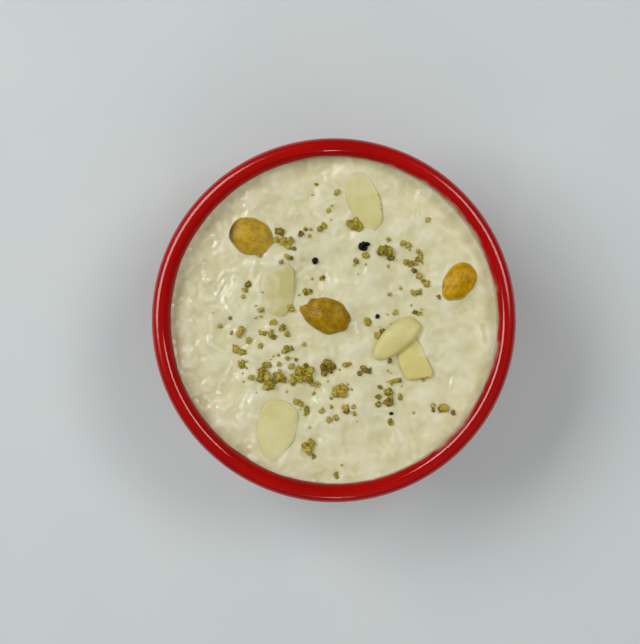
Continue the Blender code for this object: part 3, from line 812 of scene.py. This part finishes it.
def addRaisin(name, piece, heights, material, seed):
    # an egg: cos and sin of an angle along it, narrower in front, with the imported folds, dented by a slow
    # noise and wrinkled where a faster noise, stretched along the raisin, crosses zero
    length, width, height = piece["size"]
    angle = np.arange(1, raisinLook["rows"] + 1) * math.pi / (raisinLook["rows"] + 1)
    along, out = np.cos(angle)[:, None], np.sin(angle)[:, None]
    around = (np.arange(raisinLook["columns"]) * fullTurn / raisinLook["columns"])[None]
    fold = 1 + raisinLook["foldDepth"] * out * np.sin(piece["folds"] * around + raisinLook["twist"] * along)
    girth = out * fold * (1 - piece["taper"] * along)
    rings = np.stack([np.broadcast_to(along * length / 2, girth.shape), girth * np.cos(around) * width / 2,
                      girth * np.sin(around) * height / 2], -1)
    stretched = rings * np.array([0.6, 1.0, 1.0])
    wrinkle = np.abs(waveNoise(stretched, raisinLook["wrinkleSize"], seed))
    finer = np.abs(waveNoise(stretched, raisinLook["wrinkleSize"] * 0.45, seed + 1))
    crease = np.exp(-2.2 * wrinkle) + 0.5 * np.exp(-2.2 * finer)
    dent = raisinLook["dent"] * waveNoise(rings, raisinLook["dentSize"], seed + 2)
    inward = rings / np.linalg.norm(rings, axis=-1, keepdims=True)
    rings = rings - inward * ((raisinLook["wrinkleDepth"] * crease + dent) * out)[..., None]
    rings = cornered(rings, piece)
    poles = cornered(np.array([[length / 2, 0, 0], [-length / 2, 0, 0]]), piece)
    stem = np.exp(-(((along + 1) / raisinLook["stemReach"]) ** 2)) * np.ones(girth.shape)
    stem = np.concatenate([stem.ravel(), [0, 1]]) * piece.get("stem", 0.2)
    rings, poles = placeRings(piece, height, rings, poles)
    points = bodyPoints(rings[None], poles[:1], poles[1:])
    quads, triangles = bodyFaces(1, raisinLook["rows"], raisinLook["columns"])
    over = points[:, 2] - readMap(heights, points[:, 0], points[:, 1])
    creased = np.concatenate([crease.ravel(), [0, 0]])
    makePiece(name + "_plumped", points, quads, triangles, material, [name],
              {"over": over, "crease": creased, "stem": stem, "tone": np.full(len(points), piece["tone"]),
               "pale": np.full(len(points), piece.get("pale", 0.0))})


def goldenRaisin():
    # A sulphured golden raisin swollen in hot milk: amber flesh that light passes into, a thin taut skin
    # darkened towards brown in its creases as painted shade, a dark stem end, and a wash of milk where it
    # meets the pudding.
    material, tree, shader = startMaterial("soakedGoldenRaisin", {
        "IOR": 1.34, "Specular IOR Level": 0.4, "Subsurface Weight": 0.75, "Subsurface Radius": (1.0, 0.75, 0.1),
        "Subsurface Scale": 2.2 * mm,
    })
    place = addNode(tree, "ShaderNodeTexCoord")
    crease, over, stem, tone, pale = (addNode(tree, "ShaderNodeAttribute", attribute_name=label)
                                      for label in ("crease", "over", "stem", "tone", "pale"))
    flesh = addNode(tree, "ShaderNodeTexNoise", {"Vector": (place, "Object")},
                    {"Scale": 1 / (2.6 * mm), "Detail": 4.0, "Roughness": 0.6})
    olive = addNode(tree, "ShaderNodeValToRGB", {"Fac": (flesh, "Fac")})
    setStops(olive, {0.32: "#9C7606", 0.5: "#B08A0C", 0.66: "#C6A21C"})
    orange = addNode(tree, "ShaderNodeValToRGB", {"Fac": (flesh, "Fac")})
    setStops(orange, {0.32: "#C48E04", 0.5: "#D4A40A", 0.66: "#E4BC20"})
    amber = addNode(tree, "ShaderNodeMix", {"Factor": (tone, "Fac"), "A": (olive, "Color"), "B": (orange, "Color")},
                    data_type="RGBA")
    paler = addNode(tree, "ShaderNodeMix", {"Factor": (pale, "Fac"), "A": (amber, "Result")},
                    {"B": hexColour("#DCC65C")}, data_type="RGBA")
    # painted shade: the creases are darkened towards brown
    shade = addNode(tree, "ShaderNodeMath", {0: (crease, "Fac")}, {1: 0.2}, operation="MULTIPLY")
    paintedCreaseShade = addNode(tree, "ShaderNodeMix", {"Factor": (shade, "Value"), "A": (paler, "Result")},
                    {"B": hexColour("#75500A")}, data_type="RGBA")
    ragged = addNode(tree, "ShaderNodeTexNoise", {"Vector": (place, "Object")}, {"Scale": 1 / (1.6 * mm)})
    waterline = addNode(tree, "ShaderNodeMath", {0: (ragged, "Fac"), 1: (over, "Fac")}, operation="SUBTRACT")
    wash = addNode(tree, "ShaderNodeMapRange", {"Value": (waterline, "Value")},
                   {"From Min": -0.25, "From Max": 0.3, "To Min": 0.0, "To Max": 0.5})
    coated = addNode(tree, "ShaderNodeMix", {"Factor": (wash, "Result"), "A": (paintedCreaseShade, "Result")},
                     {"B": hexColour("#DCD08A")}, data_type="RGBA")
    ended = addNode(tree, "ShaderNodeMix", {"Factor": (stem, "Fac"), "A": (coated, "Result")},
                    {"B": hexColour("#4E2E0A")}, data_type="RGBA")
    tree.links.new(ended.outputs["Result"], shader.inputs["Base Color"])
    gloss = addNode(tree, "ShaderNodeMapRange", {"Value": (flesh, "Fac")}, {"To Min": 0.2, "To Max": 0.36})
    tree.links.new(gloss.outputs["Result"], shader.inputs["Roughness"])
    skin = addNode(tree, "ShaderNodeTexNoise", {"Vector": (place, "Object")},
                   {"Scale": 1 / (0.9 * mm), "Detail": 4.0})
    bump = addNode(tree, "ShaderNodeBump", {"Height": (skin, "Fac")}, {"Strength": 1.0, "Distance": 0.16 * mm})
    tree.links.new(bump.outputs["Normal"], shader.inputs["Normal"])
    return material


flakeLook = {"columns": 120, "topRings": 22, "edgeExponent": 7.0, "warp": 0.1, "skinReach": 0.55}


def flakeOutline(turn, length, width, blunt, tip):
    # x is cos and y is sin pinched by a power of the half angle, which points the flake in front; behind,
    # both are raised to the power blunt, as on a superellipse; y is scaled to the width where it is widest
    widest = math.acos(-tip / (2 + tip))
    bulge = np.sin(turn) * np.abs(np.sin(turn / 2)) ** tip
    fullest = math.sin(widest) * math.sin(widest / 2) ** tip
    reach = np.where(np.cos(turn) > 0, np.cos(turn), -np.abs(np.cos(turn)) ** blunt)
    squarer = np.where(np.cos(turn) > 0, 1.0, np.abs(np.sin(turn)) ** (blunt - 1))
    return length / 2 * reach, width / 2 * bulge / fullest * np.clip(squarer, 1, 3)


def addFlake(name, piece, heights, material, seed):
    # rings are the outline drawn in by a share, at heights of a superellipse, so that the edge is rounded
    length, width, thickness = piece["size"]
    dome = piece.get("dome", 0.0)
    share = np.sin(np.linspace(0.02, 1, flakeLook["topRings"]) * math.pi / 2) ** 0.8
    shares = np.concatenate([share, share[-2::-1]])
    faces = np.concatenate([np.ones(len(share) - 1), [0], -np.ones(len(share) - 1)])
    turn = (np.arange(flakeLook["columns"]) * fullTurn / flakeLook["columns"])[None]
    x, y = flakeOutline(turn, length, width, piece["blunt"], piece["tip"])
    x = x + np.where(x < 0, piece.get("slant", 0.0) * y, 0)
    wobble = 1 + 0.02 * np.sin(3 * turn + seed) + 0.012 * np.sin(7 * turn + 2 * seed)
    x, y = x * wobble * shares[:, None], y * wobble * shares[:, None]
    swellOut = (1 - np.clip(shares, 0, 1) ** flakeLook["edgeExponent"]) ** (1 / 2.5)
    z = (faces * thickness / 2 * swellOut)[:, None] + np.where(faces > 0, dome * (1 - shares**2), 0)[:, None]
    spots = np.stack([x, y + 0 * x], -1)
    z = z + flakeLook["warp"] * waveNoise(spots, 14.0, seed) * shares[:, None]
    rings = np.stack([x + 0 * z, y + 0 * z, z], -1)
    poles = np.array([[0, 0, thickness / 2 + dome], [0, 0, -thickness / 2]])
    rings, poles = placeRings(piece, thickness + dome, rings, poles)
    points = bodyPoints(rings[None], poles[:1], poles[1:])
    quads, triangles = bodyFaces(1, len(shares), flakeLook["columns"])
    over = points[:, 2] - readMap(heights, points[:, 0], points[:, 1])
    rim = np.concatenate([np.repeat(shares, flakeLook["columns"]), [0, 0]])
    skin = np.zeros(len(points))
    for skinX, skinY, radius in piece["skins"]:
        away = np.hypot(points[:, 0] - skinX, points[:, 1] - skinY)
        skin = np.maximum(skin, np.exp(-((away / (radius + flakeLook["skinReach"])) ** 2)))
    skin *= np.clip((rim - 0.8) / 0.15, 0, 1)
    makePiece(name + "_slice", points, quads, triangles, material, [name],
              {"over": over, "rim": rim, "skin": skin, "tone": np.full(len(points), piece["tone"]),
               "shade": np.full(len(points), piece.get("shade", 0.0))})


def blanchedAlmond():
    # A blanched almond sliced by a blade: waxy cream-yellow flesh that light passes into, a little deeper
    # along the edge, scraps of brown skin, and a film of milk over it where it lies low.
    material, tree, shader = startMaterial("slicedBlanchedAlmond", {
        "IOR": 1.45, "Subsurface Weight": 0.3, "Subsurface Radius": (1.0, 0.8, 0.35),
        "Subsurface Scale": 1.2 * mm, "Roughness": 0.36,
    })
    place = addNode(tree, "ShaderNodeTexCoord")
    over, rim, skin, tone, shade = (addNode(tree, "ShaderNodeAttribute", attribute_name=label)
                                    for label in ("over", "rim", "skin", "tone", "shade"))
    flesh = addNode(tree, "ShaderNodeTexNoise", {"Vector": (place, "Object")},
                    {"Scale": 1 / (7 * mm), "Detail": 4.0, "Roughness": 0.5})
    pale = addNode(tree, "ShaderNodeValToRGB", {"Fac": (flesh, "Fac")})
    setStops(pale, {0.3: "#E2D99C", 0.5: "#E9E1AA", 0.7: "#EEE7BA"})
    yellow = addNode(tree, "ShaderNodeValToRGB", {"Fac": (flesh, "Fac")})
    setStops(yellow, {0.3: "#DED382", 0.5: "#E6DB8C", 0.7: "#EBE29C"})
    dry = addNode(tree, "ShaderNodeMix", {"Factor": (tone, "Fac"), "A": (pale, "Color"), "B": (yellow, "Color")},
                  data_type="RGBA")
    cream = addNode(tree, "ShaderNodeMix", {"Factor": (shade, "Fac"), "A": (dry, "Result")},
                    {"B": hexColour("#BAB47C")}, data_type="RGBA")
    edge = addNode(tree, "ShaderNodeMapRange", {"Value": (rim, "Fac")},
                   {"From Min": 0.75, "From Max": 1.0, "To Min": 0.0, "To Max": 0.4})
    deeper = addNode(tree, "ShaderNodeMix", {"Factor": (edge, "Result"), "A": (cream, "Result")},
                     {"B": hexColour("#D8C878")}, data_type="RGBA")
    ragged = addNode(tree, "ShaderNodeTexNoise", {"Vector": (place, "Object")},
                     {"Scale": 1 / (0.9 * mm), "Detail": 3.0})
    scrap = addNode(tree, "ShaderNodeMath", {0: (skin, "Fac"), 1: (ragged, "Fac")}, operation="ADD")
    torn = addNode(tree, "ShaderNodeMapRange", {"Value": (scrap, "Value")},
                   {"From Min": 0.85, "From Max": 1.25, "To Min": 0.0, "To Max": 0.75})
    skinned = addNode(tree, "ShaderNodeMix", {"Factor": (torn, "Result"), "A": (deeper, "Result")},
                      {"B": hexColour("#A17A40")}, data_type="RGBA")
    smooth = addNode(tree, "ShaderNodeTexNoise", {"Vector": (place, "Object")},
                     {"Scale": 1 / (3.4 * mm), "Detail": 3.0})
    waterline = addNode(tree, "ShaderNodeMath", {0: (smooth, "Fac"), 1: (over, "Fac")}, operation="SUBTRACT")
    wash = addNode(tree, "ShaderNodeMapRange", {"Value": (waterline, "Value")},
                   {"From Min": -0.15, "From Max": 0.4, "To Min": 0.0, "To Max": 0.8})
    coated = addNode(tree, "ShaderNodeMix", {"Factor": (wash, "Result"), "A": (skinned, "Result")},
                     {"B": hexColour("#EBE4BB")}, data_type="RGBA")
    tree.links.new(coated.outputs["Result"], shader.inputs["Base Color"])
    bump = addNode(tree, "ShaderNodeBump", {"Height": (smooth, "Fac")}, {"Strength": 1.0, "Distance": 0.08 * mm})
    tree.links.new(bump.outputs["Normal"], shader.inputs["Normal"])
    return material


# Crushed pistachio where it fell: x, y and size of each crumb, and x, y, radius and count of each heap.
pistachio = {
    "crumbs": [
        (-20.5, 29.0, 2.0), (-19.0, 32.0, 2.3), (-18.0, 28.5, 2.2), (-15.0, 28.5, 2.0),
        (-16.0, 26.5, 1.8), (-14.0, 26.0, 1.3), (-11.5, 31.0, 2.0), (-10.0, 33.0, 1.3),
        (-8.5, 30.5, 1.0), (-4.5, 33.0, 2.2), (-3.0, 34.0, 1.9), (-26.5, 23.5, 1.3),
        (-16.5, 23.0, 1.7), (-15.0, 22.5, 1.2), (-18.5, 21.0, 1.2), (-4.0, 15.5, 1.3),
        (-10.0, 10.5, 1.7), (-8.5, 10.5, 1.5), (-30.5, 13.0, 1.8), (-32.0, 11.0, 1.7),
        (-32.5, 8.5, 1.2), (-6.0, 49.0, 1.2), (-1.5, 39.5, 1.2), (-26.0, 4.0, 1.8), (-26.0, 1.5, 1.0),
        (-16.0, 5.0, 1.8), (-15.0, 4.0, 1.8), (-37.0, 1.0, 1.2), (1.5, 46.0, 1.7), (10.0, 33.0, 1.5),
        (12.0, 23.5, 1.5), (11.0, 23.5, 1.2), (8.5, 21.5, 1.5), (21.0, 22.5, 2.0), (20.0, 29.0, 1.2),
        (25.5, 28.0, 1.9), (27.0, 27.0, 1.8), (30.5, 25.0, 1.3), (31.5, 24.0, 1.2), (31.5, 22.5, 1.8),
        (30.5, 22.0, 1.6), (26.5, 21.0, 2.1), (28.0, 20.5, 1.9), (29.0, 18.0, 1.6), (31.0, 16.0, 1.9),
        (32.5, 14.0, 1.5), (33.5, 13.0, 1.9), (29.0, 10.0, 1.6), (31.0, 10.0, 1.5), (20.5, 9.5, 1.2),
        (38.0, 8.5, 1.3), (22.5, 3.0, 1.8), (29.5, 3.0, 1.5), (31.0, 2.5, 1.5), (34.0, 36.0, 1.6),
        (12.5, -0.5, 2.2), (-41.0, -2.0, 1.4), (-37.0, -4.5, 1.0), (-33.0, -3.0, 1.7),
        (-33.5, -5.0, 2.1), (-30.5, -7.0, 1.8), (-26.0, -9.0, 1.6), (-35.0, -10.5, 2.1),
        (-33.0, -11.5, 2.3), (-33.0, -16.0, 2.2), (-29.5, -20.5, 2.0), (-21.5, -0.5, 2.0),
        (-18.5, -2.5, 2.1), (-26.0, -4.5, 1.5), (-24.5, -4.5, 1.4), (-22.5, -4.5, 1.9),
        (-21.5, -6.0, 1.8), (-16.5, -5.0, 1.5), (-10.5, -8.5, 1.4), (-17.5, -11.0, 1.9),
        (-16.5, -10.0, 1.8), (-15.0, -10.0, 1.4), (-19.5, -12.5, 1.0), (-16.5, -13.5, 1.5),
        (-13.5, -14.0, 1.0), (-23.5, -16.0, 2.1), (-19.5, -16.0, 1.6), (-15.0, -16.5, 1.7),
        (-14.5, -21.5, 1.6), (-14.5, -22.5, 1.4), (-7.5, -23.0, 1.8), (-6.0, -23.0, 1.6),
        (-7.0, -26.5, 1.2), (-13.0, -29.5, 1.9), (-11.5, -30.5, 1.6), (-9.5, -32.0, 1.8),
        (-9.5, -33.5, 1.5), (-0.5, -28.0, 1.0), (-0.5, -31.0, 1.0), (-4.0, -32.5, 1.7),
        (-1.5, -36.0, 1.7), (-7.0, -49.0, 1.4), (16.0, -5.5, 1.8), (18.0, -4.0, 1.6),
        (4.5, -16.0, 1.5), (6.0, -15.5, 1.4), (11.5, -17.5, 2.2), (12.5, -18.0, 2.0),
        (9.5, -19.0, 1.4), (20.5, -14.5, 1.4), (21.0, -22.0, 1.4), (22.5, -21.5, 1.5),
        (24.0, -21.5, 1.2), (17.0, -24.0, 1.4), (24.0, -27.0, 1.3), (24.0, -28.0, 1.2),
        (16.5, -27.5, 1.7), (16.5, -30.0, 1.6), (4.5, -31.5, 1.9), (5.0, -32.5, 1.6),
        (7.5, -31.0, 1.3), (7.5, -33.5, 1.3), (1.0, -35.0, 1.6), (20.5, -36.0, 1.7),
        (21.0, -37.0, 1.5), (36.0, -30.5, 1.4), (36.0, -32.0, 1.2), (43.0, -33.0, 1.4),
        (1.0, -55.5, 1.4), (1.5, -56.5, 1.1),
        (34.5, -17.0, 0.9), (34.5, -20.0, 1.0), (32.5, -21.5, 0.9),
    ],
    "heaps": [
        (-10.0, -19.0, 2.9, 9, 0.35), (-2.0, -17.0, 2.3, 7, 0.15), (3.0, -25.0, 2.1, 6, 0.65),
        (-25.0, -19.5, 1.9, 5, 0.4), (-19.5, -21.0, 1.9, 4, 0.5), (-23.0, -23.5, 1.4, 3, 0.4),
        (-9.0, -46.0, 1.9, 5, 0.6), (18.5, 25.5, 1.7, 4, 0.35), (7.5, 35.0, 1.9, 4, 0.5),
        (20.5, -26.0, 1.1, 3, 0.45), (20.5, -29.0, 1.1, 3, 0.45), (39.5, -31.5, 1.5, 3, 0.4),
    ],
    "dustCount": 90,
    "dustSpread": 2.8,
    "rows": 9,
    "columns": 14,
    "boxiness": 0.8,
    "roughness": 0.17,
    "lumpSize": 1.1,
    "sunk": 0.32,
    "seed": 31,
}
cardamom = {
    "seeds": [
        (-6.5, 21.5, 2.1), (10.0, 26.5, 2.2), (11.5, 26.0, 2.0), (12.5, 27.5, 1.5), (11.0, 27.5, 1.6),
        (21.0, -33.5, 1.5), (16.0, 1.5, 1.5),
    ],
    "rows": 12,
    "columns": 18,
    "boxiness": 0.2,
    "roughness": 0.05,
    "lumpSize": 0.9,
    "sunk": 0.35,
    "seed": 41,
}


def addChunks(name, centres, sizes, look, heights, material, tints):
    # broken bits: a ball made boxier by its own 4-norm, pushed in and out by noise, squashed and turned
    rng = np.random.default_rng(look["seed"] + 1)
    count = len(sizes)
    angle = np.arange(1, look["rows"] + 1) * math.pi / (look["rows"] + 1)
    turn = np.arange(look["columns"]) * fullTurn / look["columns"]
    ball = np.stack([np.sin(angle)[:, None] * np.cos(turn), np.sin(angle)[:, None] * np.sin(turn),
                     np.broadcast_to(np.cos(angle)[:, None], (len(angle), len(turn)))], -1)
    ball *= ((ball**4).sum(-1, keepdims=True) ** -0.25) ** look["boxiness"]
    stretch = rng.uniform(0.7, 1.25, (count, 1, 1, 3))
    offset = rng.uniform(0, 50, (count, 1, 1, 3))
    push = 1 + look["roughness"] * waveNoise(ball[None] + offset, look["lumpSize"], look["seed"])[..., None]
    rings = ball[None] * push * stretch * sizes[:, None, None, None] / 2
    poles = np.stack([stretch[:, 0, 0] * sizes[:, None] / 2 * np.array([0, 0, side]) for side in (1, -1)])
    matrices = turnMatrices(*rng.uniform(0, fullTurn, (3, count)))
    film = readMap(heights, centres[:, 0], centres[:, 1])
    middle = np.stack([centres[:, 0], centres[:, 1], film + centres[:, 2] + sizes * (0.5 - look["sunk"])], -1)
    rings = np.einsum("bij,brcj->brci", matrices, rings) + middle[:, None, None]
    poles = np.einsum("bij,pbj->pbi", matrices, poles) + middle
    points = bodyPoints(rings, poles[0], poles[1])
    quads, triangles = bodyFaces(count, len(angle), len(turn))
    perBody = len(angle) * len(turn) + 2
    over = points[:, 2] - readMap(heights, points[:, 0], points[:, 1])
    makePiece(name, points, quads, triangles, material, [],
              {"tint": np.repeat(tints, perBody), "over": over})


def addPistachio(heights):
    # single crumbs, each with a chip or two broken off beside it, then the heaps, then the dust
    rng = np.random.default_rng(pistachio["seed"])
    singles = np.array(pistachio["crumbs"])
    tones = rng.random(len(singles))
    spots = [np.column_stack([singles[:, :2], np.zeros(len(singles))])]
    sizes, tints = [singles[:, 2]], [tones]
    for chip in range(2):
        turn = rng.uniform(0, fullTurn, len(singles))
        reach = singles[:, 2] * rng.uniform(0.3, 0.5, len(singles))
        spots.append(np.column_stack([singles[:, 0] + reach * np.cos(turn), singles[:, 1] + reach * np.sin(turn),
                                      np.zeros(len(singles))]))
        sizes.append(singles[:, 2] * rng.uniform(0.45, 0.75, len(singles)))
        tints.append(tones + rng.normal(0, 0.1, len(singles)))
    for x, y, radius, count, tone in pistachio["heaps"]:
        turn = np.arange(count) * goldenAngle + rng.uniform(0, fullTurn)
        out = radius * np.sqrt((np.arange(count) + 0.6) / count)
        lift = np.clip(0.9 - out / radius, 0, 1) * 0.5
        spots.append(np.column_stack([x + out * np.cos(turn), y + out * np.sin(turn), lift]))
        sizes.append(rng.uniform(1.4, 2.9, count))
        tints.append(tone + rng.normal(0, 0.22, count))
    bases = np.concatenate(spots)
    picked = bases[rng.integers(0, len(bases), pistachio["dustCount"])]
    scatter = rng.normal(0, pistachio["dustSpread"], (pistachio["dustCount"], 2))
    spots.append(np.column_stack([picked[:, :2] + scatter, np.zeros(pistachio["dustCount"])]))
    sizes.append(rng.uniform(0.45, 1.0, pistachio["dustCount"]))
    tints.append(rng.uniform(0.5, 1.0, pistachio["dustCount"]))
    spots, sizes, tints = np.concatenate(spots), np.concatenate(sizes), np.concatenate(tints)
    inside = np.hypot(spots[:, 0], spots[:, 1]) < bowl["cavityRadius"] - 1.5
    addChunks("pistachio_crumbs", spots[inside], sizes[inside], pistachio, heights, pistachioKernel(),
              np.clip(tints[inside], 0, 1))


def pistachioKernel():
    # Crushed pistachio kernels: chalky broken faces from green to yellow-olive, brown skin on some pieces,
    # and milk soaked in where they meet the pudding.
    material, tree, shader = startMaterial("crushedPistachioKernel", {
        "IOR": 1.45, "Roughness": 0.5, "Subsurface Weight": 0.4, "Subsurface Radius": (0.8, 0.65, 0.2),
        "Subsurface Scale": 0.9 * mm,
    })
    place = addNode(tree, "ShaderNodeTexCoord")
    tint, over = (addNode(tree, "ShaderNodeAttribute", attribute_name=label) for label in ("tint", "over"))
    fleck = addNode(tree, "ShaderNodeTexNoise", {"Vector": (place, "Object")},
                    {"Scale": 1 / (0.9 * mm), "Detail": 3.0, "Roughness": 0.6})
    sway = addNode(tree, "ShaderNodeMapRange", {"Value": (fleck, "Fac")},
                   {"From Min": 0.33, "From Max": 0.67, "To Min": -0.4, "To Max": 0.4})
    mixed = addNode(tree, "ShaderNodeMath", {0: (tint, "Fac"), 1: (sway, "Result")}, operation="ADD")
    green = addNode(tree, "ShaderNodeValToRGB", {"Fac": (mixed, "Value")})
    setStops(green, {0.02: "#7A6212", 0.22: "#9C8A1E", 0.45: "#B2A12E", 0.7: "#C5B543", 0.88: "#CFC058",
                     1.0: "#BA9232"})
    soak = addNode(tree, "ShaderNodeMapRange", {"Value": (over, "Fac")},
                   {"From Min": 0.0, "From Max": 0.5, "To Min": 0.6, "To Max": 0.0})
    soaked = addNode(tree, "ShaderNodeMix", {"Factor": (soak, "Result"), "A": (green, "Color")},
                     {"B": hexColour("#CDC06C")}, data_type="RGBA")
    tree.links.new(soaked.outputs["Result"], shader.inputs["Base Color"])
    bump = addNode(tree, "ShaderNodeBump", {"Height": (fleck, "Fac")}, {"Strength": 1.0, "Distance": 0.3 * mm})
    tree.links.new(bump.outputs["Normal"], shader.inputs["Normal"])
    return material


def addCardamom(heights):
    seeds = np.array(cardamom["seeds"])
    centres = np.column_stack([seeds[:, :2], np.zeros(len(seeds))])
    addChunks("cardamom_seeds", centres, seeds[:, 2], cardamom, heights, cardamomSeed(),
              np.linspace(0, 1, len(seeds)))


def cardamomSeed():
    # Cardamom seeds: hard, near-black, wrinkled across, with a faint oily sheen.
    material, tree, shader = startMaterial("blackCardamomSeed", {
        "IOR": 1.5, "Roughness": 0.42, "Specular IOR Level": 0.2,
    })
    place = addNode(tree, "ShaderNodeTexCoord")
    rough = addNode(tree, "ShaderNodeTexNoise", {"Vector": (place, "Object")}, {"Scale": 1 / (0.5 * mm)})
    dark = addNode(tree, "ShaderNodeValToRGB", {"Fac": (rough, "Fac")})
    setStops(dark, {0.35: "#0C0A07", 0.7: "#241C12"})
    tree.links.new(dark.outputs["Color"], shader.inputs["Base Color"])
    bump = addNode(tree, "ShaderNodeBump", {"Height": (rough, "Fac")}, {"Strength": 1.0, "Distance": 0.1 * mm})
    tree.links.new(bump.outputs["Normal"], shader.inputs["Normal"])
    return material


addCamera()
addLights()
addFloor()
addBowl()
grains = layGrains()
heights, lift, wet = makeHeightMaps(grains)
print("laid", len(grains["x"]), "grains under the milk")
cream = milkPudding()
addPudding(heights, lift, wet, cream)
addGrains(grains, heights, lift, wet, cream)
raisinSkin, almondFlesh = goldenRaisin(), blanchedAlmond()
for seed, (name, piece) in enumerate(raisins.items()):
    addRaisin(name, piece, heights, raisinSkin, 50 + 10 * seed)
for seed, (name, piece) in enumerate(flakes.items()):
    addFlake(name, piece, heights, almondFlesh, 80 + seed)
addPistachio(heights)
addCardamom(heights)
